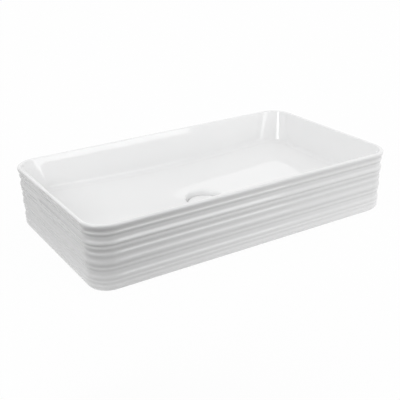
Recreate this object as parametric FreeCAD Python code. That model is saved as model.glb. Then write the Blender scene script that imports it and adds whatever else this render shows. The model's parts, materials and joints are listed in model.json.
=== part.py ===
import FreeCAD, Part
import math
import os

from FreeCAD import Vector

# A rectangular countertop basin with a rippled outer wall, and the push waste that shuts its drain.
# Millimetres. Origin at the middle of the foot ring, on the counter. Long side along X, +Z up.

# Basin, outside
basin_length = 600.0
basin_width = 347.0
basin_height = 115.0
corner_radius = 41.5
base_round = 10.5
base_set_in = 5.2
rim_thickness = 6.3
rim_round = 3.8
rim_inner_round = 2.4

# Rises and falls of the outer wall from the base up: height of the step, and set-in at its upper end.
# The heights share out the band between the rounded base and the rim.
ripple_steps = (
    (2.9, 5.5), (4.6, 4.8), (2.6, 5.1), (3.9, 4.6), (6.5, 5.8), (4.2, 5.7), (5.1, 4.7),
    (2.7, 5.0), (6.5, 3.5), (7.5, 4.7), (6.9, 3.8), (4.5, 4.8), (6.9, 3.0), (3.0, 3.3),
    (4.3, 2.0), (7.0, 3.9), (3.6, 3.8), (6.0, 2.1), (3.0, 2.7), (9.0, 0.0),
)

# Bowl: drafted sides and a floor that falls to the drain, steeper across the basin than along it
bowl_depth = 83.0
bowl_draft = 11.1
bowl_floor_corner = 62.0
bowl_cove = 11.0
floor_slope_along = 0.068
floor_slope_across = 0.090

# Hollow underneath, which reaches a little above the lowest point of the bowl's floor
bowl_wall = 8.0
skirt_wall = 8.0
hollow_rise = 8.0
foot_height = 9.0
foot_width = 9.0

# Drain in the ceramic
recess_radius = 34.5
recess_lip = 3.5
seat_height = 17.0
seat_radius = 32.5
seat_thickness = 10.0
drain_hole_radius = 23.0
boss_wall = 8.0

# Waste tube
flange_radius = 31.0
flange_thickness = 2.5
flange_edge = 1.0
tail_radius = 20.95
tail_bore = 18.0
tail_length = 74.0
tail_chamfer = 1.0
trap_thread_length = 32.0
relief_width = 3.0
relief_depth = 1.2
hub_radius = 13.0
hub_height = 8.0
hub_drop = 27.0
arm_width = 4.0
arm_count = 3

# Rings and nut that clamp the waste
flange_gasket_thickness = 1.5
flange_gasket_margin = 1.0
lower_gasket_thickness = 4.5
lower_gasket_radius = 32.0
lower_gasket_taper = 3.0
gasket_spigot = 3.0
slip_washer_thickness = 1.0
slip_washer_radius = 28.5
nut_flats = 54.0
nut_height = 10.0
nut_chamfer = 1.5

# Push cartridge
sleeve_radius = 8.5
sleeve_bore = 7.0
collar_flats = 20.0
collar_height = 4.0
sleeve_length = 37.5
guide_height = 4.0
end_plug_height = 4.0
guide_head = 1.5
stem_radius = 4.0
skirt_height = 6.0
pilot_radius = 2.5
pilot_tip = 1.0
rotor_height = 6.0
rotor_core = 4.9
tooth_count = 4
tooth_height = 2.0
tooth_angle = 30.0
fin_angle = 24.0
cam_ring_height = 7.5
cam_ring_wall = 0.8
plug_travel = 9.0
spring_wire = 1.1
spring_radius = 3.9
spring_turns = 5

# Plug
cap_radius = 30.0
cap_edge = 2.6
cap_dome = 1.8
cap_lip = 1.8
cap_lip_width = 2.4
cap_edge_round = 1.1
seal_thickness = 1.8
seal_width = 5.5
carrier_radius = 20.8
carrier_thickness = 1.7
carrier_boss_radius = 7.0
carrier_boss_height = 9.0
lock_nut_flats = 13.0
lock_nut_height = 4.0

# Clearances
thread_clearance = 0.1
ring_clearance = 0.25
running_clearance = 0.05
stop_gap = 0.3
seal_gap = 0.2

# How far a cutter runs past a face, and how closely a place is matched
overrun = 1.0
match = 0.02

# Lowest point of the bowl's floor, if it ran on over the drain, and the top of the hollow
floor_tip = basin_height - bowl_depth
hollow_height = floor_tip + hollow_rise

# Heights along the drain, from the ceramic seat
flange_bottom = seat_height + flange_gasket_thickness
flange_top = flange_bottom + flange_thickness
seat_underside = seat_height - seat_thickness
washer_top = seat_underside - lower_gasket_thickness
nut_top = washer_top - slip_washer_thickness
tail_bottom = flange_top - tail_length
hub_top = flange_top - hub_drop
seal_bottom = flange_top + seal_gap
cap_underside = seal_bottom + seal_thickness
carrier_underside = cap_underside - carrier_thickness
boss_bottom = carrier_underside - carrier_boss_height
lock_nut_bottom = boss_bottom - lock_nut_height
guide_top = lock_nut_bottom - stop_gap
sleeve_top = guide_top - guide_head
guide_bottom = guide_top - guide_height
sleeve_bottom = sleeve_top - sleeve_length
end_plug_top = sleeve_bottom + end_plug_height
skirt_top = guide_bottom - stop_gap - plug_travel
skirt_bottom = skirt_top - skirt_height
rotor_top = skirt_bottom - stop_gap
rotor_bottom = rotor_top - rotor_height
cam_ring_bottom = guide_bottom - cam_ring_height
collar_bottom = hub_top


def outline(set_in, radius, height):
    # Rounded rectangle of the basin's plan, drawn inwards by set_in, at one height.
    half_x = basin_length / 2 - set_in
    half_y = basin_width / 2 - set_in
    edges = []
    corners = ((1, 1, 0), (-1, 1, 90), (-1, -1, 180), (1, -1, 270))
    arcs = []
    for sign_x, sign_y, start in corners:
        centre = Vector(sign_x * (half_x - radius), sign_y * (half_y - radius), height)
        angles = [math.radians(start + turn) for turn in (0, 45, 90)]
        arcs.append([centre + Vector(radius * math.cos(a), radius * math.sin(a), 0) for a in angles])
    for index, arc in enumerate(arcs):
        edges.append(Part.Arc(*arc).toShape())
        edges.append(Part.LineSegment(arc[2], arcs[(index + 1) % 4][0]).toShape())
    return Part.Wire(edges)


def block(set_in, radius, bottom, top):
    # Straight prism of the plan.
    return Part.Face(outline(set_in, radius, bottom)).extrude(Vector(0, 0, top - bottom))


def level_line(rise, tip):
    # Ellipse where the falling floor has risen so far above its tip.
    middle = Vector(0, 0, tip + rise)
    return Part.Wire([Part.Ellipse(middle, rise / floor_slope_along, rise / floor_slope_across).toShape()])


def above_floor(grow, tip, top):
    # All that lies above the falling floor: a cone with elliptical level lines, and a block on it.
    brim = math.hypot(floor_slope_along * basin_length / 2, floor_slope_across * basin_width / 2) + overrun
    cone = Part.makeLoft([level_line(overrun, tip), level_line(brim, tip)], True, True)
    return cone.fuse(block(-grow - overrun, corner_radius, tip + brim, top))


def bowl_form(grow):
    # The bowl's inside, grown outwards by a wall: drafted sides, a falling floor, and a cove between them.
    lean = math.tan(math.radians(bowl_draft))
    sideways = grow / math.cos(math.radians(bowl_draft))
    tip = floor_tip - grow
    top = basin_height + rim_round
    top_set_in = rim_thickness - rim_round * lean - sideways
    tip_set_in = rim_thickness + (basin_height - tip) * lean - sideways
    top_corner = corner_radius - rim_thickness + sideways
    wires = [outline(tip_set_in, bowl_floor_corner + grow, tip), outline(top_set_in, top_corner, top)]
    sides = Part.makeLoft(wires, True, True)
    form = sides.common(above_floor(grow, tip, top))
    floor_low = tip + 2 * overrun
    floor = max((face for face in form.Faces if face.BoundBox.ZMin < floor_low), key=lambda face: face.Area)
    floor_edges = [edge for edge in floor.Edges if edge.BoundBox.ZMin > floor_low]
    return form.makeFillet(bowl_cove + grow, floor_edges)


def ripple_arcs(start, end):
    # One rise or fall of the wall: two equal arcs, upright at both ends, that meet halfway.
    reach = end.x - start.x
    rise = end.z - start.z
    side = math.copysign(1, reach)
    radius = (rise ** 2 + reach ** 2) / (4 * abs(reach))
    bend = math.atan2(abs(reach), rise)
    swing = Vector(side * radius * (1 - math.cos(bend)), 0, radius * math.sin(bend))
    middle = (start + end) * 0.5
    return [
        Part.Arc(start, start + swing, middle).toShape(),
        Part.Arc(middle, end - swing, end).toShape(),
    ]


def wall_section():
    # Outer wall from the axis of a corner outwards: rounded base, ripples and the outer half of the rim.
    band = basin_height - rim_round - base_round
    share = band / sum(step for step, set_in in ripple_steps)
    low = Vector(corner_radius - base_set_in, 0, base_round)
    high = low
    ripples = []
    for step, set_in in ripple_steps:
        start = high
        high = Vector(corner_radius - set_in, 0, start.z + step * share)
        ripples += ripple_arcs(start, high)
    base_centre = Vector(low.x - base_round, 0, base_round)
    rim_centre = Vector(high.x - rim_round, 0, high.z)
    diagonal = math.sqrt(0.5)
    foot_end = base_centre - Vector(0, 0, base_round)
    foot_mid = base_centre + Vector(diagonal, 0, -diagonal) * base_round
    rim_mid = rim_centre + Vector(diagonal, 0, diagonal) * rim_round
    rim_end = rim_centre + Vector(0, 0, rim_round)
    axis_low, axis_high = Vector(0, 0, 0), Vector(0, 0, basin_height)
    return [
        Part.LineSegment(axis_low, foot_end).toShape(),
        Part.Arc(foot_end, foot_mid, low).toShape(),
        *ripples,
        Part.Arc(high, rim_mid, rim_end).toShape(),
        Part.LineSegment(rim_end, axis_high).toShape(),
        Part.LineSegment(axis_high, axis_low).toShape(),
    ]


def outer_form():
    # The wall section carried round the plan: turned at the corners, straight along the sides.
    section = Part.Face(Part.Wire(wall_section()))
    run_x = basin_length / 2 - corner_radius
    run_y = basin_width / 2 - corner_radius
    core = Part.makeBox(2 * run_x, 2 * run_y, basin_height, Vector(-run_x, -run_y, 0))
    pieces = []
    sides = ((run_x, run_y, 0), (run_y, run_x, 90), (run_x, run_y, 180), (run_y, run_x, 270))
    for reach, half_run, turn in sides:
        side = section.copy()
        side.translate(Vector(reach, -half_run, 0))
        side = side.extrude(Vector(0, 2 * half_run, 0))
        side.rotate(Vector(0, 0, 0), Vector(0, 0, 1), turn)
        corner = section.revolve(Vector(0, 0, 0), Vector(0, 0, 1), 90)
        corner.translate(Vector(reach, half_run, 0))
        corner.rotate(Vector(0, 0, 0), Vector(0, 0, 1), turn)
        pieces += [side, corner]
    return core.multiFuse(pieces).removeSplitter()


def turned(points):
    # Closed outline of (radius, height) points, turned about the drain's axis.
    wire = Part.makePolygon([Vector(r, 0, z) for r, z in points + points[:1]])
    return Part.Face(wire).revolve(Vector(0, 0, 0), Vector(0, 0, 1), 360)


def ring(inner, outer, bottom, top):
    return turned([(inner, bottom), (outer, bottom), (outer, top), (inner, top)])


def rod(radius, bottom, top):
    return Part.makeCylinder(radius, top - bottom, Vector(0, 0, bottom))


def hexagon(flats, bottom, top, chamfer):
    # Hexagonal prism with its corners turned down at both ends.
    radius = flats / math.sqrt(3)
    corners = [math.radians(60 * k) for k in range(7)]
    wire = Part.makePolygon([Vector(radius * math.cos(a), radius * math.sin(a), bottom) for a in corners])
    prism = Part.Face(wire).extrude(Vector(0, 0, top - bottom))
    end = radius - chamfer
    rise = chamfer / 2
    barrel = turned([
        (0, bottom), (end, bottom), (radius, bottom + rise),
        (radius, top - rise), (end, top), (0, top)])
    return prism.common(barrel)


def sectors(inner, outer, bottom, top, angle, count):
    # Blocks spaced evenly round the axis, the first one centred on +X.
    wedges = []
    tube = Part.Face(Part.makePolygon([Vector(r, 0, z) for r, z in (
        (inner, bottom), (outer, bottom), (outer, top), (inner, top), (inner, bottom))]))
    for k in range(count):
        wedge = tube.revolve(Vector(0, 0, 0), Vector(0, 0, 1), angle)
        wedge.rotate(Vector(0, 0, 0), Vector(0, 0, 1), 360.0 * k / count - angle / 2)
        wedges.append(wedge)
    return wedges


def circle_edges(shape, radius, height):
    found = []
    for edge in shape.Edges:
        flat = edge.BoundBox.ZMax - edge.BoundBox.ZMin < match
        level = abs(edge.BoundBox.ZMax - height) < match
        if flat and level and abs(edge.BoundBox.XMax - radius) < match:
            found.append(edge)
    return found


def basin_body():
    inside = bowl_form(0)
    body = outer_form().cut(inside)
    rim_top = [face for face in body.Faces if face.BoundBox.ZMin > basin_height - match][0]
    inner_wires = [wire for wire in rim_top.Wires if not wire.isSame(rim_top.OuterWire)]
    lip_edges = [edge for wire in inner_wires for edge in wire.Edges]
    body = body.makeFillet(rim_inner_round, lip_edges)

    # Hollow between the skirt and the bowl, open below inside the foot ring
    deepest = max(set_in for step, set_in in ripple_steps)
    hollow_set_in = deepest + skirt_wall
    foot_set_in = base_set_in + base_round + foot_width
    hollow = block(hollow_set_in, corner_radius - hollow_set_in, foot_height, hollow_height)
    mouth = block(foot_set_in, corner_radius - foot_set_in, -overrun, foot_height)
    boss = rod(recess_radius + boss_wall, seat_underside, floor_tip)
    body = body.cut(hollow.fuse(mouth).cut(bowl_form(bowl_wall)).cut(boss))

    # Sunk drain: a tapered recess with a rounded lip, a flat seat and the hole
    lip_height = floor_tip + recess_radius * (floor_slope_along + floor_slope_across) / 2
    flare = (recess_radius - seat_radius) / (lip_height - seat_height)
    recess_top = lip_height + recess_lip
    recess = turned([(0, seat_height), (seat_radius, seat_height),
                     (recess_radius + flare * recess_lip, recess_top), (0, recess_top)])
    body = body.cut(recess)
    reach = recess_radius + flare * recess_lip
    lip = [edge for edge in body.Edges if edge.BoundBox.ZMin > floor_tip and edge.BoundBox.XMax < reach
           and edge.BoundBox.XMin > -reach]
    body = body.makeFillet(recess_lip, lip)
    return body.cut(rod(drain_hole_radius, seat_underside - overrun, seat_height + overrun))


def flange_gasket():
    inner = tail_radius + ring_clearance
    return ring(inner, flange_radius - flange_gasket_margin, seat_height, flange_bottom)


def waste_body():
    flange = rod(flange_radius, flange_bottom, flange_top)
    flange = flange.makeFillet(flange_edge, circle_edges(flange, flange_radius, flange_top))
    tail = rod(tail_radius, tail_bottom, flange_bottom)
    tail = tail.makeChamfer(tail_chamfer, circle_edges(tail, tail_radius, tail_bottom))
    # Groove between the nut's thread and the trap's thread
    groove_bottom = tail_bottom + trap_thread_length
    groove_top = groove_bottom + relief_width
    tail = tail.cut(ring(tail_radius - relief_depth, tail_radius + overrun, groove_bottom, groove_top))
    body = flange.fuse(tail).cut(rod(tail_bore, tail_bottom - overrun, flange_top + overrun))
    hub = rod(hub_radius, hub_top - hub_height, hub_top)
    reach = (tail_bore + tail_radius) / 2
    for k in range(arm_count):
        arm = Part.makeBox(reach, arm_width, hub_height, Vector(0, -arm_width / 2, hub_top - hub_height))
        arm.rotate(Vector(0, 0, 0), Vector(0, 0, 1), 360.0 * k / arm_count)
        hub = hub.fuse(arm)
    hub = hub.cut(rod(sleeve_radius + thread_clearance, hub_top - hub_height - overrun, hub_top + overrun))
    return body.fuse(hub).removeSplitter()


def lower_gasket():
    inner = tail_radius + ring_clearance
    spigot = drain_hole_radius - ring_clearance
    return turned([
        (inner, washer_top), (lower_gasket_radius - lower_gasket_taper, washer_top),
        (lower_gasket_radius, seat_underside), (spigot, seat_underside),
        (spigot, seat_underside + gasket_spigot), (inner, seat_underside + gasket_spigot)])


def slip_washer():
    return ring(tail_radius + ring_clearance, slip_washer_radius, nut_top, washer_top)


def back_nut():
    nut = hexagon(nut_flats, nut_top - nut_height, nut_top, nut_chamfer)
    return nut.cut(rod(tail_radius + thread_clearance, nut_top - nut_height - overrun, nut_top + overrun))


def cartridge_sleeve():
    # Tube screwed down through the hub until its six-sided collar seats.
    tube = rod(sleeve_radius, sleeve_bottom, sleeve_top)
    collar = hexagon(collar_flats, collar_bottom, collar_bottom + collar_height, nut_chamfer / 2)
    return tube.fuse(collar).cut(rod(sleeve_bore, sleeve_bottom - overrun, sleeve_top + overrun))


def guide_cap():
    inner = stem_radius + running_clearance
    plug = sleeve_bore - thread_clearance
    return turned([
        (inner, guide_bottom), (plug, guide_bottom), (plug, sleeve_top),
        (sleeve_radius, sleeve_top), (sleeve_radius, guide_top), (inner, guide_top)])


def cam_ring():
    # Fixed crown of teeth that the rotor's fins stand between when the plug is up.
    outer = sleeve_bore - thread_clearance
    inner = outer - cam_ring_wall
    crown = ring(inner, outer, cam_ring_bottom + tooth_height, guide_bottom)
    teeth = sectors(inner, outer, cam_ring_bottom, cam_ring_bottom + tooth_height, tooth_angle, tooth_count)
    return crown.multiFuse(teeth).removeSplitter()


def end_plug():
    return rod(sleeve_bore - thread_clearance, sleeve_bottom, end_plug_top)


def plunger():
    skirt_radius = sleeve_bore - thread_clearance - cam_ring_wall - stop_gap
    tip = rotor_bottom - pilot_tip
    return turned([
        (0, tip), (pilot_radius, tip), (pilot_radius, skirt_bottom), (skirt_radius, skirt_bottom),
        (skirt_radius, skirt_top), (stem_radius, skirt_top), (stem_radius, cap_underside),
        (0, cap_underside)])


def ratchet_rotor():
    core = ring(pilot_radius + running_clearance, rotor_core, rotor_bottom, rotor_top)
    inner = rotor_core - cam_ring_wall
    fins = sectors(inner, sleeve_bore - stop_gap, rotor_bottom, rotor_top, fin_angle, tooth_count)
    return core.multiFuse(fins).removeSplitter()


def biarc(start, start_way, end, end_way):
    # Two arcs that leave start along start_way, meet smoothly and reach end along end_way.
    chord = end - start
    ways = start_way + end_way
    square = ways.dot(ways) - 4
    half = chord.dot(ways)
    reach = (half - math.sqrt(half ** 2 - square * chord.dot(chord))) / square
    first, second = start + start_way * reach, end - end_way * reach
    join = (first + second) * 0.5
    arcs = []
    for near, corner, far in ((start, first, join), (join, second, end)):
        middle = (near + far) * 0.5
        lean = (near - middle).Length / reach
        arcs.append(Part.Arc(near, middle + (corner - middle) * (lean / (1 + lean)), far).toShape())
    return arcs


def cartridge_spring():
    # One wire wound between the end plug and the rotor.
    low = end_plug_top + spring_wire / 2 + ring_clearance
    high = rotor_bottom - spring_wire / 2 - ring_clearance
    climb = (high - low) / spring_turns
    spans = spring_turns * 4

    def place(k):
        turn = math.pi / 2 * k
        around = Vector(math.cos(turn), math.sin(turn), 0) * spring_radius
        way = Vector(-math.sin(turn), math.cos(turn), climb / (2 * math.pi * spring_radius))
        return around + Vector(0, 0, low + climb * k / 4), way.normalize()

    edges = []
    for k in range(spans):
        edges += biarc(*place(k), *place(k + 1))
    path = Part.Wire(edges)
    start, way = place(0)
    section = Part.Wire([Part.makeCircle(spring_wire / 2, start, way)])
    print("least gap between turns of the spring", round(climb - spring_wire, 2))
    return path.makePipeShell([section], True, False)


def stem_lock_nut():
    nut = hexagon(lock_nut_flats, lock_nut_bottom, boss_bottom, nut_chamfer / 2)
    return nut.cut(rod(stem_radius + thread_clearance, lock_nut_bottom - overrun, boss_bottom + overrun))


def cap_carrier():
    disc = rod(carrier_radius, carrier_underside, cap_underside)
    boss = rod(carrier_boss_radius, boss_bottom, carrier_underside)
    bore = rod(stem_radius + thread_clearance, boss_bottom - overrun, cap_underside + overrun)
    return disc.fuse(boss).cut(bore)


def plug_seal():
    inner = carrier_radius + thread_clearance
    return ring(inner, inner + seal_width, seal_bottom, cap_underside)


def plug_cap():
    # Low dome over a flat disc, with a lip that hides the seal.
    edge_top = cap_underside + cap_edge
    crown = edge_top + cap_dome
    dome_radius = (cap_radius ** 2 + cap_dome ** 2) / (2 * cap_dome)
    lip_bottom = cap_underside - cap_lip + seal_gap
    body = turned([(0, cap_underside), (cap_radius - cap_lip_width, cap_underside),
                   (cap_radius - cap_lip_width, lip_bottom), (cap_radius, lip_bottom),
                   (cap_radius, crown), (0, crown)])
    dome = Part.makeSphere(dome_radius, Vector(0, 0, crown - dome_radius))
    body = body.common(dome)
    return body.makeFillet(cap_edge_round, circle_edges(body, cap_radius, edge_top))


pieces = (
    basin_body, flange_gasket, waste_body, lower_gasket, slip_washer, back_nut,
    cartridge_sleeve, guide_cap, cam_ring, end_plug, plunger, ratchet_rotor, cartridge_spring,
    stem_lock_nut, cap_carrier, plug_seal, plug_cap,
)

os.makedirs("parts", exist_ok=True)
for piece in pieces:
    shape = piece()
    print(piece.__name__, shape.isValid(), len(shape.Solids), round(shape.Volume, 1))
    shape.exportStep("parts/" + piece.__name__ + ".step")
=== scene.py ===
import json
import math

import bpy
import numpy as np
from mathutils import Matrix, Vector


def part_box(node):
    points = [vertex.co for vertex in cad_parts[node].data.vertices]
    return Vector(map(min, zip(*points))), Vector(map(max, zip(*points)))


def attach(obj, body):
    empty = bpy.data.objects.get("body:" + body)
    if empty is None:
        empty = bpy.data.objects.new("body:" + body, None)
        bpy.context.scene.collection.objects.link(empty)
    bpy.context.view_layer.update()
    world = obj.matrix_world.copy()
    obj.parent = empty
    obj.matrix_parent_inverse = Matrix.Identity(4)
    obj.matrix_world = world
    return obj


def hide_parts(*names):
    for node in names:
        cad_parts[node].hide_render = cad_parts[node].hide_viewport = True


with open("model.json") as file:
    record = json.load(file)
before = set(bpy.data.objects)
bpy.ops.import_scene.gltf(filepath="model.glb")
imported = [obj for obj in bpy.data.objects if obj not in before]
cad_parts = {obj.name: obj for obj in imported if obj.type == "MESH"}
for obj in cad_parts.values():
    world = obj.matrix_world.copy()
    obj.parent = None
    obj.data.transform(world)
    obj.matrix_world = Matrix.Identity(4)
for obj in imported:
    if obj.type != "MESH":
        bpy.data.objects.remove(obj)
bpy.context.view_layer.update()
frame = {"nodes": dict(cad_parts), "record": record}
nodes = frame["nodes"]
mm = 0.001
print("frame loaded:", len(nodes), "nodes")


def linkedMesh(name, points, faces, sharpAngle=40):
    # new object at the origin, smooth shaded, with edges over sharpAngle left crisp
    mesh = bpy.data.meshes.new(name)
    mesh.from_pydata(points.tolist(), [], faces.tolist())
    mesh.polygons.foreach_set("use_smooth", np.ones(len(mesh.polygons), bool))
    mesh.set_sharp_from_angle(angle=math.radians(sharpAngle))
    mesh.update()
    obj = bpy.data.objects.new(name, mesh)
    bpy.context.scene.collection.objects.link(obj)
    return obj


def gridFaces(rows, columns, closeRows, closeColumns):
    # quads of a grid of points, wrapped round in either direction
    i = np.arange(rows if closeRows else rows - 1)[:, None]
    j = np.arange(columns if closeColumns else columns - 1)[None, :]
    nextI, nextJ = (i + 1) % rows, (j + 1) % columns
    corners = [i * columns + j, nextI * columns + j, nextI * columns + nextJ, i * columns + nextJ]
    return np.stack(np.broadcast_arrays(*corners), axis=-1).reshape(-1, 4)


def pointValues(obj, name, values):
    # one number for each point, which a material can read by name
    layer = obj.data.attributes.new(name, "FLOAT", "POINT")
    layer.data.foreach_set("value", np.asarray(values, np.float32).ravel())


def smoothStep(low, high, x):
    # 0 up to low, 1 from high on, eased between
    t = np.clip((x - low) / (high - low), 0, 1)
    return t * t * (3 - 2 * t)


# Basin: closed grid of columns round the plan,
# each running from the drain over the rim to the foot and back below

basin = {  # millimetres and degrees
    "cornerRadius": 41.5,
    "baseRound": 10.5,
    "baseSetIn": 5.2,  # how far the base stands inside the widest outline
    "rimThickness": 6.3,
    "rimRound": 3.8,
    "rimInnerRound": 2.4,
    # height of each rise or fall of the outer wall from the base up, and the set-in at its top
    "rippleSteps": (
        (2.9, 5.5), (4.6, 4.8), (2.6, 5.1), (3.9, 4.6), (6.5, 5.8), (4.2, 5.7), (5.1, 4.7),
        (2.7, 5.0), (6.5, 3.5), (7.5, 4.7), (6.9, 3.8), (4.5, 4.8), (6.9, 3.0), (3.0, 3.3),
        (4.3, 2.0), (7.0, 3.9), (3.6, 3.8), (6.0, 2.1), (3.0, 2.7), (9.0, 0.0),
    ),
    "bowlDepth": 83.0,  # from the rim to where the floor's slopes would meet
    "bowlDraft": 11.1,
    "floorCorner": 62.0,  # the bowl's corners widen to this radius at the floor
    "cove": 11.0,
    "slopeAlong": 0.068,  # fall to the drain, along and across the basin
    "slopeAcross": 0.090,
    "recessRadius": 34.3,
    "recessLip": 5.0,
    "seatHeight": 17.0,
    "seatRadius": 31.4,
    "seatEdge": 0.8,  # bevel between the seat and the recess wall
    "seatUnderside": 7.0,
    "holeRadius": 23.0,
    "bossRadius": 42.5,
    "bowlWall": 8.0,
    "skirtWall": 8.0,
    "hollowHeight": 40.0,  # top of the hollow underneath
    "footHeight": 9.0,
    "footWidth": 9.0,
    "cornerSteps": 20,
    "longSteps": 44,
    "shortSteps": 26,
    "rowCounts": {
        "cove": 25, "side": 14, "rim": 9, "ripple": 11, "base": 10, "foot": 4, "hollow": 6,
        "seat": 5, "recess": 8, "lip": 9, "floor": 30,
        "underCove": 10, "under": 14, "boss": 5, "hole": 4,
    },
    "coveRounds": 12,  # tries after which the cove's ball lies still
    "leastSweep": 0.01,  # radians of the cove that stay below the hollow's top
    "glazeLine": (1.2, 2.6),  # the glaze stops between these heights above the counter
    "bowlPool": 0.3,  # share of pooled glaze in the bowl and round the base
    "basePool": 0.6,
}


def planLoop(cornerSteps, longSteps, shortSteps):
    # a column stands at (u (hx - r) + r cos a, v (hy - r) + r sin a):
    # a turns at the corners, u or v runs along the sides
    turn = np.linspace(0, math.pi / 2, cornerSteps + 1)
    u, v, a = [], [], []
    for k, (signX, signY) in enumerate(((1, 1), (-1, 1), (-1, -1), (1, -1))):
        steps = longSteps if k % 2 == 0 else shortSteps
        run = np.linspace(1, -1, steps + 1)[1:-1]
        still = np.ones_like(run)
        along = {0: (run, still), 1: (-still, run), 2: (-run, -still), 3: (still, -run)}[k]
        u += [np.full_like(turn, signX), along[0]]
        v += [np.full_like(turn, signY), along[1]]
        a += [turn + k * math.pi / 2, np.full_like(run, (k + 1) * math.pi / 2)]
    return np.concatenate(u), np.concatenate(v), np.concatenate(a)


def makeBasin(b):
    halfX, halfY, top = (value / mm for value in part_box("basin_body")[1])
    u, v, a = planLoop(b["cornerSteps"], b["longSteps"], b["shortSteps"])
    cosA, sinA = np.cos(a), np.sin(a)
    draft = math.radians(b["bowlDraft"])
    lean = math.tan(draft)
    tip = top - b["bowlDepth"]
    loftTop = top + b["rimRound"]
    topCorner = b["cornerRadius"] - b["rimThickness"]
    rowCount = b["rowCounts"]

    def steps(low, high, count):
        # evenly spaced values, one for each row
        return np.linspace(low, high, count)[:, None]

    def planRows(setIn, corner, height):
        # rounded rectangles, drawn in from the basin's outline
        x = u * (halfX - setIn - corner) + corner * cosA
        y = v * (halfY - setIn - corner) + corner * sinA
        return np.stack(np.broadcast_arrays(x, y, height), axis=-1)

    def wallAt(height, grow):
        # drafted side of the bowl, grown outwards by a wall: set-in and corner radius
        sideways = grow / math.cos(draft)
        share = (loftTop - height) / (loftTop - tip + grow)
        setIn = b["rimThickness"] + (top - height) * lean - sideways
        return setIn, topCorner + sideways + (b["floorCorner"] + grow - topCorner - sideways) * share

    def centreAt(height, grow):
        # middle of each column's corner, and the corner's radius
        setIn, corner = wallAt(height, grow)
        return u * (halfX - setIn - corner), v * (halfY - setIn - corner), corner

    def reachAt(height, grow):
        # how far out the side lies, measured square to it
        x, y, corner = centreAt(height, grow)
        return x * cosA + y * sinA + corner

    def atReach(reach, height, grow):
        # points that lie that far out, on each column's own way
        x, y, corner = centreAt(height, grow)
        out = reach - x * cosA - y * sinA
        return x + out * cosA, y + out * sinA

    def floorAt(x, y, grow):
        # cone with elliptical level lines: z = tip + sqrt((sx x)^2 + (sy y)^2)
        return tip - grow + np.hypot(b["slopeAlong"] * x, b["slopeAcross"] * y)

    def coveRows(grow, count, ceiling=None):
        # ball rolled along side and floor, from its touch on the floor up to the side or the ceiling
        radius = b["cove"] + grow
        sideTilt = np.arctan(reachAt(tip + 1, grow) - reachAt(tip, grow))
        middle = tip + radius + 0 * a
        tilt = 0 * a
        for settle in range(b["coveRounds"]):
            ball = reachAt(middle, grow) - radius / np.cos(sideTilt)
            x, y = atReach(ball + radius * np.sin(tilt), middle, grow)
            rise = floorAt(x, y, grow) - tip + grow
            tilt = np.arctan((b["slopeAlong"] ** 2 * x * cosA + b["slopeAcross"] ** 2 * y * sinA) / rise)
            middle = floorAt(x, y, grow) + radius * np.cos(tilt)
        floorEnd = math.pi / 2 - tilt
        sideEnd = sideTilt
        if ceiling is not None:
            ceilingEnd = np.arcsin(np.clip((middle - ceiling) / radius, 0, 1))
            sideEnd = np.minimum(ceilingEnd, floorEnd - b["leastSweep"])
        angle = floorEnd + (sideEnd - floorEnd) * steps(0, 1, count)
        x, y = atReach(ball + radius * np.cos(angle), middle, grow)
        return np.stack([x, y, middle - radius * np.sin(angle)], axis=-1)

    # bowl: cove, side and the rim's two roundings
    cove = coveRows(0, rowCount["cove"])
    inner = b["rimInnerRound"]
    sideFoot = cove[-1, :, 2]
    sideRise = top - inner * (1 - math.sin(draft)) - sideFoot
    height = sideFoot + sideRise * steps(0, 1, rowCount["side"])[1:]
    side = planRows(*wallAt(height, 0), height)
    rimMiddle = wallAt(top - inner, 0)[0] - inner / math.cos(draft)
    turn = steps(math.pi / 2 - draft, 0, rowCount["rim"])[1:]
    rimSet = rimMiddle + inner * np.sin(turn)
    blend = np.sin(turn) / math.cos(draft)
    rimCorner = (b["cornerRadius"] - rimMiddle) * (1 - blend) + wallAt(top - inner, 0)[1] * blend
    rimIn = planRows(rimSet, rimCorner, top - inner * (1 - np.cos(turn)))
    turn = steps(0, math.pi / 2, rowCount["rim"])
    rimSet = b["rimRound"] * (1 - np.sin(turn))
    rimZ = top - b["rimRound"] * (1 - np.cos(turn))
    rimOut = planRows(rimSet, b["cornerRadius"] - rimSet, rimZ)

    # rippled outer wall: each step is two equal curves, upright at both ends
    ripple = np.array(b["rippleSteps"])
    band = top - b["rimRound"] - b["baseRound"]
    levels = b["baseRound"] + np.concatenate([[0], np.cumsum(ripple[:, 0])]) * band / ripple[:, 0].sum()
    setIns = np.concatenate([[b["baseSetIn"]], ripple[:, 1]])
    s = np.linspace(0, 1, rowCount["ripple"])[None, :-1]
    ease = np.where(s < 0.5, 2 * s * s, 1 - 2 * (1 - s) ** 2)
    rippleZ = (levels[:-1, None] + np.diff(levels)[:, None] * s).ravel()[::-1, None]
    rippleSet = (setIns[:-1, None] + np.diff(setIns)[:, None] * ease).ravel()[::-1, None]
    ripples = planRows(rippleSet, b["cornerRadius"] - rippleSet, rippleZ)

    # rounded base, bare foot ring and the skirt's inside
    turn = steps(0, math.pi / 2, rowCount["base"])[1:]
    baseSet = b["baseSetIn"] + b["baseRound"] * (1 - np.cos(turn))
    baseZ = b["baseRound"] * (1 - np.sin(turn))
    base = planRows(baseSet, b["cornerRadius"] - baseSet, baseZ)
    footSet = b["baseSetIn"] + b["baseRound"] + b["footWidth"]
    footZ = steps(0, b["footHeight"], rowCount["foot"])
    foot = planRows(footSet, b["cornerRadius"] - footSet, footZ)
    hollowSet = ripple[:, 1].max() + b["skirtWall"]
    hollowZ = steps(b["footHeight"], b["hollowHeight"], rowCount["hollow"])
    hollow = planRows(hollowSet, b["cornerRadius"] - hollowSet, hollowZ)

    # drain: round rows whose points keep the columns' order
    around = np.arctan2(cove[0, :, 1] * halfX, cove[0, :, 0] * halfY)

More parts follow.
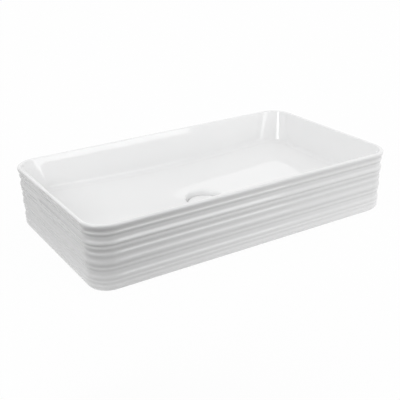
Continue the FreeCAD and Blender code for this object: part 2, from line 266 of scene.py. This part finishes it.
    def roundRows(radius, height):
        x, y = radius * np.cos(around), radius * np.sin(around)
        return np.stack(np.broadcast_arrays(x, y, height), axis=-1)

    lip = b["recessLip"]
    lipTop = tip + b["recessRadius"] * (b["slopeAlong"] + b["slopeAcross"]) / 2
    flare = math.atan((b["recessRadius"] - b["seatRadius"]) / (lipTop - b["seatHeight"]))
    lipMiddle = b["recessRadius"] - lip * math.tan(flare) + lip / math.cos(flare)
    lipLevel = floorAt(lipMiddle * np.cos(around), lipMiddle * np.sin(around), 0)
    seatRadius = steps(b["holeRadius"], b["seatRadius"] - b["seatEdge"], rowCount["seat"])
    climb = steps(0, 1, rowCount["recess"])
    wallRadius = b["seatRadius"] + (lipMiddle - lip * math.cos(flare) - b["seatRadius"]) * climb
    wallFoot = b["seatHeight"] + b["seatEdge"]
    wallLevel = wallFoot + (lipLevel - lip * (1 - math.sin(flare)) - wallFoot) * climb
    turn = steps(flare, math.pi / 2, rowCount["lip"])[1:]
    drain = np.concatenate([
        roundRows(seatRadius, b["seatHeight"]),
        roundRows(wallRadius, wallLevel),
        roundRows(lipMiddle - lip * np.cos(turn), lipLevel - lip * (1 - np.sin(turn))),
    ])

    def between(start, end, count, grow):
        # straight from one row to another across the plan, at the floor's height
        x, y = (start[:, k] + (end[:, k] - start[:, k]) * steps(0, 1, count)[1:-1] for k in (0, 1))
        return np.stack([x, y, floorAt(x, y, grow)], axis=-1)

    floor = between(drain[-1], cove[0], rowCount["floor"], 0)

    # underneath: the bowl's outside, the drain's boss and the hole
    grow = b["bowlWall"]
    underCove = coveRows(grow, rowCount["underCove"], b["hollowHeight"])[::-1]
    bossX, bossY = b["bossRadius"] * np.cos(around), b["bossRadius"] * np.sin(around)
    bossTop = roundRows(b["bossRadius"], floorAt(bossX, bossY, grow))
    under = between(underCove[-1], bossTop, rowCount["under"], grow)
    bossDrop = b["seatUnderside"] - bossTop[:, 2]
    boss = roundRows(b["bossRadius"], bossTop[:, 2] + bossDrop * steps(0, 1, rowCount["boss"]))
    endRadius = steps(b["bossRadius"], b["holeRadius"], rowCount["boss"])[1:]
    bossEnd = roundRows(endRadius, b["seatUnderside"])
    holeZ = steps(b["seatUnderside"], b["seatHeight"], rowCount["hole"])[1:-1]
    hole = roundRows(b["holeRadius"], holeZ)
    below = np.concatenate([hollow, underCove, under, boss, bossEnd])
    below[..., 2] = np.minimum(below[..., 2], b["hollowHeight"])

    # each run of rows with its share of pooled glaze and of bare clay
    bowlPool, basePool = b["bowlPool"], b["basePool"]
    ripplePool = rippleSet[:, 0] / ripple[:, 1].max()
    baseBare = 1 - smoothStep(*b["glazeLine"], baseZ[:, 0])
    runs = (
        (drain, bowlPool, 0), (floor, bowlPool, 0), (cove, bowlPool, 0), (side, bowlPool, 0),
        (rimIn, 0, 0), (rimOut, 0, 0), (ripples, ripplePool, 0), (base, basePool, baseBare),
        (foot, 0, 1), (below, 0, 1), (hole, 0, 1),
    )
    points = np.concatenate([rows for rows, pool, bare in runs])
    faces = gridFaces(len(points), len(a), True, True)
    obj = linkedMesh("basinShell", points.reshape(-1, 3) * mm, faces)
    for k, name in ((1, "glazePool"), (2, "bareClay")):
        values = np.concatenate([np.broadcast_to(run[k], len(run[0])) for run in runs])
        pointValues(obj, name, np.repeat(values, len(a)))
    return obj


basinShell = makeBasin(basin)
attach(basinShell, "basin")
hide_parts("basin_body")
print("basin shell:", len(basinShell.data.polygons), "faces")


# Finishes

def addNode(tree, kind, **values):
    # each value sets the node's own setting of that name, or else its input
    node = tree.nodes.new(kind)
    for name, value in values.items():
        if hasattr(node, name):
            setattr(node, name, value)
        else:
            node.inputs[name.replace("_", " ")].default_value = value
    return node


def makeGroup(name, inputs, outputs):
    # empty node group with named float, colour or vector sockets
    group = bpy.data.node_groups.new(name, "ShaderNodeTree")
    for label, kind, value in inputs:
        socket = group.interface.new_socket(name=label, in_out="INPUT", socket_type=kind)
        if value is not None:
            socket.default_value = value
    for label, kind in outputs:
        group.interface.new_socket(name=label, in_out="OUTPUT", socket_type=kind)
    return group, group.nodes.new("NodeGroupInput"), group.nodes.new("NodeGroupOutput")


def softCloudGroup():
    # slow patches between two tones, with a mask
    group, enter, leave = makeGroup(
        "softCloud",
        (("Vector", "NodeSocketVector", None), ("Scale", "NodeSocketFloat", 8.0),
         ("Tone A", "NodeSocketColor", (1, 1, 1, 1)), ("Tone B", "NodeSocketColor", (0.9, 0.9, 0.9, 1))),
        (("Color", "NodeSocketColor"), ("Mask", "NodeSocketFloat")))
    link = group.links.new
    noise = addNode(group, "ShaderNodeTexNoise", Detail=3.0, Roughness=0.5)
    spread = addNode(group, "ShaderNodeMapRange", From_Min=0.32, From_Max=0.68)
    mix = addNode(group, "ShaderNodeMix", data_type="RGBA")
    link(enter.outputs["Vector"], noise.inputs["Vector"])
    link(enter.outputs["Scale"], noise.inputs["Scale"])
    link(noise.outputs["Fac"], spread.inputs["Value"])
    link(spread.outputs["Result"], mix.inputs["Factor"])
    link(enter.outputs["Tone A"], mix.inputs["A"])
    link(enter.outputs["Tone B"], mix.inputs["B"])
    link(mix.outputs["Result"], leave.inputs["Color"])
    link(spread.outputs["Result"], leave.inputs["Mask"])
    return group


def fineGrainGroup():
    # fine bumps over slower ones, as a height
    group, enter, leave = makeGroup(
        "fineGrain",
        (("Vector", "NodeSocketVector", None), ("Fine", "NodeSocketFloat", 900.0),
         ("Slow", "NodeSocketFloat", 60.0), ("Balance", "NodeSocketFloat", 0.5)),
        (("Height", "NodeSocketFloat"),))
    link = group.links.new
    fine = addNode(group, "ShaderNodeTexNoise", Detail=2.0, Roughness=0.6)
    slow = addNode(group, "ShaderNodeTexNoise", Detail=1.0, Roughness=0.4)
    mix = addNode(group, "ShaderNodeMix", data_type="FLOAT")
    for texture, label in ((fine, "Fine"), (slow, "Slow")):
        link(enter.outputs["Vector"], texture.inputs["Vector"])
        link(enter.outputs[label], texture.inputs["Scale"])
    link(enter.outputs["Balance"], mix.inputs["Factor"])
    link(fine.outputs["Fac"], mix.inputs["A"])
    link(slow.outputs["Fac"], mix.inputs["B"])
    link(mix.outputs["Result"], leave.inputs["Height"])
    return group


def latheMarksGroup():
    # rings round the Z axis as a lathe leaves them: noise of (sqrt(x^2 + y^2), z), as a height
    group, enter, leave = makeGroup(
        "latheMarks", (("Vector", "NodeSocketVector", None), ("Scale", "NodeSocketFloat", 900.0)),
        (("Height", "NodeSocketFloat"),))
    link = group.links.new
    flat = addNode(group, "ShaderNodeVectorMath", operation="MULTIPLY")
    flat.inputs[1].default_value = (1, 1, 0)
    radius = addNode(group, "ShaderNodeVectorMath", operation="LENGTH")
    split = addNode(group, "ShaderNodeSeparateXYZ")
    join = addNode(group, "ShaderNodeCombineXYZ")
    noise = addNode(group, "ShaderNodeTexNoise", Detail=3.0, Roughness=0.65)
    link(enter.outputs["Vector"], flat.inputs[0])
    link(flat.outputs["Vector"], radius.inputs[0])
    link(enter.outputs["Vector"], split.inputs["Vector"])
    link(radius.outputs["Value"], join.inputs["X"])
    link(split.outputs["Z"], join.inputs["Y"])
    link(join.outputs["Vector"], noise.inputs["Vector"])
    link(enter.outputs["Scale"], noise.inputs["Scale"])
    link(noise.outputs["Fac"], leave.inputs["Height"])
    return group


softCloud = softCloudGroup()
fineGrain = fineGrainGroup()
latheMarks = latheMarksGroup()


def startMaterial(name):
    material = bpy.data.materials.new(name)
    material.use_nodes = True
    tree = material.node_tree
    shader = tree.nodes["Principled BSDF"]
    place = addNode(tree, "ShaderNodeTexCoord").outputs["Object"]
    return material, tree, shader, place


def placeGroup(tree, group, vector, **values):
    node = addNode(tree, "ShaderNodeGroup", node_tree=group)
    tree.links.new(vector, node.inputs["Vector"])
    for label, value in values.items():
        node.inputs[label.replace("_", " ")].default_value = value
    return node


def tonePatches(tree, place, m):
    # a finish's two tones in slow patches
    return placeGroup(tree, softCloud, place, Scale=m["patchScale"],
                      Tone_A=m["toneA"], Tone_B=m["toneB"])


def rangeNode(tree, value, low, high, fromLow=0.0, fromHigh=1.0):
    node = addNode(tree, "ShaderNodeMapRange", From_Min=fromLow, From_Max=fromHigh,
                   To_Min=low, To_Max=high)
    tree.links.new(value, node.inputs["Value"])
    return node.outputs["Result"]


def mixColours(tree, mask, a, b):
    node = addNode(tree, "ShaderNodeMix", data_type="RGBA")
    tree.links.new(mask, node.inputs["Factor"])
    for label, value in (("A", a), ("B", b)):
        if isinstance(value, tuple):
            node.inputs[label].default_value = value
        else:
            tree.links.new(value, node.inputs[label])
    return node.outputs["Result"]


def bumpNode(tree, height, strength, distance, normal=None):
    node = addNode(tree, "ShaderNodeBump", Strength=strength, Distance=distance)
    tree.links.new(height, node.inputs["Height"])
    if normal is not None:
        tree.links.new(normal, node.inputs["Normal"])
    return node.outputs["Normal"]


glaze = {
    "toneA": (0.935, 0.936, 0.936, 1),
    "toneB": (0.922, 0.924, 0.925, 1),
    "pooled": (0.9, 0.903, 0.905, 1),
    "poolShare": 0.5,
    "roughness": (0.015, 0.04),
    "patchScale": 9.0,
    "waveScale": 26.0,  # slow waves, with a little of the fine ones over them
    "fineScale": 90.0,
    "waveBalance": 0.95,
    "waveStrength": 0.35,
    "waveHeight": 0.00014,
    "ior": 1.52,
}
footClay = {
    "toneA": (0.74, 0.71, 0.66, 1), "toneB": (0.66, 0.63, 0.585, 1), "patchScale": 420.0,
    "roughness": (0.72, 0.9), "gritFine": 2600.0, "gritSlow": 700.0, "gritBalance": 0.4,
    "gritStrength": 0.6, "gritHeight": 0.0002,
}


def whiteGlaze(g, c):
    material, tree, shader, place = startMaterial("whiteGlaze")
    link = tree.links.new
    cloud = tonePatches(tree, place, g)
    pool = addNode(tree, "ShaderNodeAttribute", attribute_name="glazePool").outputs["Fac"]
    bare = addNode(tree, "ShaderNodeAttribute", attribute_name="bareClay").outputs["Fac"]
    # glaze gathers in the valleys of the ripples and runs thin over the crests
    gathered = rangeNode(tree, pool, 0.0, g["poolShare"])
    glazed = mixColours(tree, gathered, cloud.outputs["Color"], g["pooled"])
    clay = tonePatches(tree, place, c)
    link(mixColours(tree, bare, glazed, clay.outputs["Color"]), shader.inputs["Base Color"])
    gloss = rangeNode(tree, cloud.outputs["Mask"], *g["roughness"])
    dull = addNode(tree, "ShaderNodeMix", data_type="FLOAT")
    link(bare, dull.inputs["Factor"])
    link(gloss, dull.inputs["A"])
    link(rangeNode(tree, clay.outputs["Mask"], *c["roughness"]), dull.inputs["B"])
    link(dull.outputs["Result"], shader.inputs["Roughness"])
    # waves over the whole glaze, and grit only where the clay is bare
    wave = placeGroup(tree, fineGrain, place, Fine=g["fineScale"], Slow=g["waveScale"],
                      Balance=g["waveBalance"])
    smooth = bumpNode(tree, wave.outputs["Height"], g["waveStrength"], g["waveHeight"])
    grain = placeGroup(tree, fineGrain, place, Fine=c["gritFine"], Slow=c["gritSlow"],
                       Balance=c["gritBalance"])
    grit = addNode(tree, "ShaderNodeMath", operation="MULTIPLY")
    link(grain.outputs["Height"], grit.inputs[0])
    link(bare, grit.inputs[1])
    rough = bumpNode(tree, grit.outputs["Value"], c["gritStrength"], c["gritHeight"], smooth)
    link(rough, shader.inputs["Normal"])
    shader.inputs["IOR"].default_value = g["ior"]
    return material


def metalFinish(name, m):
    # two tones in slow patches, with the rings that turning or drawing leaves as bumps
    material, tree, shader, place = startMaterial(name)
    link = tree.links.new
    cloud = tonePatches(tree, place, m)
    marks = placeGroup(tree, latheMarks, place, Scale=m["markScale"])
    link(cloud.outputs["Color"], shader.inputs["Base Color"])
    link(rangeNode(tree, cloud.outputs["Mask"], *m["roughness"]), shader.inputs["Roughness"])
    bumps = bumpNode(tree, marks.outputs["Height"], m["markStrength"], m["markDepth"])
    link(bumps, shader.inputs["Normal"])
    shader.inputs["Metallic"].default_value = 1.0
    return material


mouldGrain = {"coarser": 9, "balance": 0.35}  # how much coarser the slow bumps are, and their share


def mouldedFinish(name, m):
    # two close tones, uneven gloss and a fine mould grain
    material, tree, shader, place = startMaterial(name)
    link = tree.links.new
    cloud = tonePatches(tree, place, m)
    grain = placeGroup(tree, fineGrain, place, Fine=m["grainScale"],
                       Slow=m["grainScale"] / mouldGrain["coarser"], Balance=mouldGrain["balance"])
    link(cloud.outputs["Color"], shader.inputs["Base Color"])
    link(rangeNode(tree, cloud.outputs["Mask"], *m["roughness"]), shader.inputs["Roughness"])
    bumps = bumpNode(tree, grain.outputs["Height"], m["grainStrength"], m["grainDepth"])
    link(bumps, shader.inputs["Normal"])
    shader.inputs["IOR"].default_value = m["ior"]
    return material


chrome = {
    "toneA": (0.80, 0.81, 0.82, 1), "toneB": (0.70, 0.715, 0.735, 1), "patchScale": 45.0,
    "roughness": (0.05, 0.13), "markScale": 800.0, "markStrength": 0.12, "markDepth": 0.00004,
}
brass = {
    "toneA": (0.80, 0.63, 0.33, 1), "toneB": (0.60, 0.43, 0.20, 1), "patchScale": 90.0,
    "roughness": (0.2, 0.38), "markScale": 1500.0, "markStrength": 0.35, "markDepth": 0.0001,
}
wire = {
    "toneA": (0.66, 0.67, 0.69, 1), "toneB": (0.48, 0.49, 0.52, 1), "patchScale": 160.0,
    "roughness": (0.22, 0.36), "markScale": 2600.0, "markStrength": 0.25, "markDepth": 0.00005,
}
darkRubber = {
    "toneA": (0.035, 0.035, 0.038, 1), "toneB": (0.06, 0.06, 0.064, 1), "patchScale": 70.0,
    "roughness": (0.5, 0.72), "grainScale": 2400.0, "grainStrength": 0.4, "grainDepth": 0.00008,
    "ior": 1.51,
}
paleRubber = {
    "toneA": (0.60, 0.61, 0.61, 1), "toneB": (0.50, 0.515, 0.52, 1), "patchScale": 60.0,
    "roughness": (0.42, 0.6), "grainScale": 1800.0, "grainStrength": 0.25, "grainDepth": 0.00006,
    "ior": 1.42,
}
acetal = {
    "toneA": (0.86, 0.855, 0.83, 1), "toneB": (0.79, 0.785, 0.755, 1), "patchScale": 110.0,
    "roughness": (0.26, 0.42), "grainScale": 1600.0, "grainStrength": 0.18, "grainDepth": 0.00005,
    "ior": 1.48,
}

finishes = {
    "white_glaze": whiteGlaze(glaze, footClay),
    "plated_brass": metalFinish("platedBrass", chrome),
    "plain_brass": metalFinish("plainBrass", brass),
    "spring_steel": metalFinish("springSteel", wire),
    "black_rubber": mouldedFinish("blackRubber", darkRubber),
    "grey_rubber": mouldedFinish("greyRubber", paleRubber),
    "white_plastic": mouldedFinish("whitePlastic", acetal),
}
for part in frame["record"]["subparts"]:
    mesh = nodes[part["node"]].data
    mesh.materials.clear()
    mesh.materials.append(finishes[part["material_slot"]])
basinShell.data.materials.append(finishes["white_glaze"])
print("finishes made:", len(finishes))


# Studio: pale floor with the counter's hole and painted shade and painted light in the light it throws
# back, white surroundings, soft lights and dark sheets

studio = {  # metres
    "floorRadius": 7.0,
    "holeRadius": 0.0375,
    "floorRings": 24,
    "floorSpokes": 64,
    "floorPale": (0.9, 0.9, 0.9, 1),  # the floor as it is seen
    "floorWhite": 0.965,  # how far its own white hides its shadow
    "paintedShadeTone": (0.38, 0.0),  # painted shade: the floor's colour as a source of light, grey on the right and black by the near left corner, to shade the basin there
    "paintedShadeWay": (-0.9, -0.44, 0),
    "paintedShadeFade": (0.2, 0.5),  # where along that way the painted shade sets in
    "footHalf": (0.284, 0.158, 0),  # half the foot's length and width
    "paintedLightTone": 0.9,  # painted light: a pale floor colour as a source of light beside the foot, to light the base from below
    "paintedLightFade": (0.0, 0.07),  # how far from the foot the painted light gives way to the painted shade
    "ambient": 0.82,
    "flagRoughness": 0.9,
    "flags": (
        # name, centre, width and height, tone
        ("farFlag", (-0.95, -1.55, 0.3), (3.2, 0.6), 0.02),
        ("nearFlag", (-0.32, -0.47, 0.19), (0.36, 0.38), 0.02),
        ("leftFlag", (-0.62, 0.25, 0.12), (0.5, 0.24), 0.02),
    ),
    "lights": (
        # name, place, size, what it looks at, radiance
        ("frontStrip", (0.625, -1.5, 0.17), (0.75, 0.3), (0.625, 0.0, 0.17), 2.5),
        ("frontSoftbox", (0.635, -1.5, 0.76), (0.73, 0.88), (0.635, 0.0, 0.76), 2.1),
        ("sideSoftbox", (-1.3, -0.4, 0.9), (0.35, 0.5), (0.0, 0.0, 0.05), 6.2),
        ("leftSoftbox", (-1.65, 0.1, 0.55), (1.1, 1.1), (0.0, 0.0, 0.05), 0.35),
        ("backSoftbox", (1.5, 1.8, 1.3), (1.05, 1.0), (0.0, 0.0, 0.05), 0.32),
    ),
}


def seenRays(tree):
    # 1 for rays that show the surroundings directly, in a mirror or through glass
    path = addNode(tree, "ShaderNodeLightPath")
    total = path.outputs["Is Camera Ray"]
    for label in ("Is Glossy Ray", "Is Transmission Ray"):
        add = addNode(tree, "ShaderNodeMath", operation="ADD", use_clamp=True)
        tree.links.new(total, add.inputs[0])
        tree.links.new(path.outputs[label], add.inputs[1])
        total = add.outputs["Value"]
    return total


def blendShaders(tree, share, first, second):
    # share 0 gives the first, 1 the second
    node = addNode(tree, "ShaderNodeMixShader")
    if isinstance(share, float):
        node.inputs[0].default_value = share
    else:
        tree.links.new(share, node.inputs[0])
    tree.links.new(first.outputs[0], node.inputs[1])
    tree.links.new(second.outputs[0], node.inputs[2])
    return node


def paintedFloorBounce(tree, s):
    # painted shade and painted light: the floor's colour as a source of light is black towards the near
    # left corner, to shade the basin there, and pale beside the foot, to light its base
    link = tree.links.new
    place = addNode(tree, "ShaderNodeTexCoord").outputs["Object"]
    toward = addNode(tree, "ShaderNodeVectorMath", operation="DOT_PRODUCT")
    toward.inputs[1].default_value = s["paintedShadeWay"]
    link(place, toward.inputs[0])
    # painted light: close to the foot the floor's bounce colour stays pale; near = 1 at the foot's
    # outline, 0 a little way off
    side = addNode(tree, "ShaderNodeVectorMath", operation="ABSOLUTE")
    link(place, side.inputs[0])
    gap = addNode(tree, "ShaderNodeVectorMath", operation="SUBTRACT")
    gap.inputs[1].default_value = s["footHalf"]
    link(side.outputs["Vector"], gap.inputs[0])
    split = addNode(tree, "ShaderNodeSeparateXYZ")
    link(gap.outputs["Vector"], split.inputs["Vector"])
    off = addNode(tree, "ShaderNodeMath", operation="MAXIMUM")
    link(split.outputs["X"], off.inputs[0])
    link(split.outputs["Y"], off.inputs[1])
    near = rangeNode(tree, off.outputs["Value"], 1.0, 0.0, *s["paintedLightFade"])
    # painted shade: the bounce colour falls from grey to black towards the near left corner
    far = rangeNode(tree, toward.outputs["Value"], *s["paintedShadeTone"], *s["paintedShadeFade"])
    tone = addNode(tree, "ShaderNodeMix", data_type="FLOAT")
    link(near, tone.inputs["Factor"])
    link(far, tone.inputs["A"])
    tone.inputs["B"].default_value = s["paintedLightTone"]
    return tone.outputs["Result"]


def studioFloor(s):
    # flat rings round the counter's hole: (r cos a, r sin a, 0), r growing by equal factors
    rings, spokes = s["floorRings"], s["floorSpokes"]
    radius = np.geomspace(s["holeRadius"], s["floorRadius"], rings)[:, None]
    angle = np.linspace(0, 2 * math.pi, spokes, endpoint=False)[None, :]
    points = np.stack([radius * np.cos(angle), radius * np.sin(angle), 0 * radius * angle], axis=-1)
    floor = linkedMesh("studioFloor", points.reshape(-1, 3), gridFaces(rings, spokes, False, True))
    material = bpy.data.materials.new("studioFloor")
    material.use_nodes = True
    tree = material.node_tree
    tree.nodes.clear()
    grey = addNode(tree, "ShaderNodeBsdfDiffuse")
    tree.links.new(paintedFloorBounce(tree, s), grey.inputs["Color"])
    pale = addNode(tree, "ShaderNodeBsdfDiffuse", Color=s["floorPale"])
    white = addNode(tree, "ShaderNodeEmission", Color=(1, 1, 1, 1), Strength=1.0)
    clear = addNode(tree, "ShaderNodeBsdfTransparent")
    # nearly white where it is seen, the painted shade and painted light as a source of light, clear from
    # below
    bright = blendShaders(tree, s["floorWhite"], pale, white)
    shade = blendShaders(tree, seenRays(tree), grey, bright)
    behind = addNode(tree, "ShaderNodeNewGeometry").outputs["Backfacing"]
    below = blendShaders(tree, behind, shade, clear)
    tree.links.new(below.outputs[0], addNode(tree, "ShaderNodeOutputMaterial").inputs["Surface"])
    floor.data.materials.append(material)


def studioWorld(s):
    # white where it is seen, a little less as a source of light
    world = bpy.data.worlds.new("studioWorld")
    bpy.context.scene.world = world
    world.use_nodes = True
    tree = world.node_tree
    tree.nodes.clear()
    soft = addNode(tree, "ShaderNodeBackground", Color=(1, 1, 1, 1), Strength=s["ambient"])
    white = addNode(tree, "ShaderNodeBackground", Color=(1, 1, 1, 1), Strength=1.0)
    mix = blendShaders(tree, seenRays(tree), soft, white)
    tree.links.new(mix.outputs[0], addNode(tree, "ShaderNodeOutputWorld").inputs["Surface"])


def studioLights(s):
    # flat soft lights, hidden from the camera
    for name, place, size, target, radiance in s["lights"]:
        lamp = bpy.data.lights.new(name, "AREA")
        lamp.shape = "RECTANGLE"
        lamp.size, lamp.size_y = size
        lamp.energy = radiance * math.pi * size[0] * size[1]
        obj = bpy.data.objects.new(name, lamp)
        obj.location = place
        aim = Vector(target) - Vector(place)
        obj.rotation_euler = aim.to_track_quat("-Z", "Y").to_euler()
        obj.visible_camera = False
        bpy.context.scene.collection.objects.link(obj)


def darkFlags(s):
    # upright dark sheets that face the basin: they keep light off it and show in its glaze,
    # but the camera doesn't see them
    for name, centre, size, tone in s["flags"]:
        facing = np.array([-centre[0], -centre[1], 0.0]) / np.hypot(*centre[:2])
        across = np.array([facing[1], -facing[0], 0.0]) * size[0] / 2
        tall = np.array([0, 0, size[1] / 2])
        corners = np.array([-across - tall, across - tall, across + tall, tall - across])
        flag = linkedMesh(name, np.array(centre) + corners, np.array([[0, 1, 2, 3]]))
        material = bpy.data.materials.new(name)
        material.use_nodes = True
        shader = material.node_tree.nodes["Principled BSDF"]
        shader.inputs["Base Color"].default_value = (tone, tone, tone, 1)
        shader.inputs["Roughness"].default_value = s["flagRoughness"]
        flag.data.materials.append(material)
        flag.visible_camera = False


studioFloor(studio)
studioWorld(studio)
studioLights(studio)
darkFlags(studio)
print("studio lit")


# Camera at the photograph's viewing angle

view = {
    "azimuth": -31.6626, "elevation": 21.9049, "roll": -1.2796,  # degrees
    "distance": 1.34581,
    "target": (0, 0, 0.05615),
    "lens": 65.856,
    "sensor": 36,
    "shift": (-0.00964, -0.03437),
}


def makeCamera(v):
    azimuth, elevation, roll = (math.radians(v[k]) for k in ("azimuth", "elevation", "roll"))
    flat = math.cos(elevation)
    back = np.array([math.sin(azimuth) * flat, -math.cos(azimuth) * flat, math.sin(elevation)])
    right = np.array([math.cos(azimuth), math.sin(azimuth), 0])
    up = np.cross(back, right)
    cosRoll, sinRoll = math.cos(roll), math.sin(roll)
    right, up = right * cosRoll + up * sinRoll, up * cosRoll - right * sinRoll
    place = np.eye(4)
    place[:3, 0], place[:3, 1], place[:3, 2] = right, up, back
    place[:3, 3] = back * v["distance"] + np.array(v["target"])
    camera = bpy.data.cameras.new("photoCamera")
    camera.sensor_width = v["sensor"]
    camera.lens = v["lens"]
    camera.shift_x, camera.shift_y = v["shift"]
    obj = bpy.data.objects.new("photoCamera", camera)
    obj.matrix_world = Matrix(place.tolist())
    bpy.context.scene.collection.objects.link(obj)
    bpy.context.scene.camera = obj


makeCamera(view)
bpy.context.scene.view_settings.view_transform = "Standard"
print("camera placed")
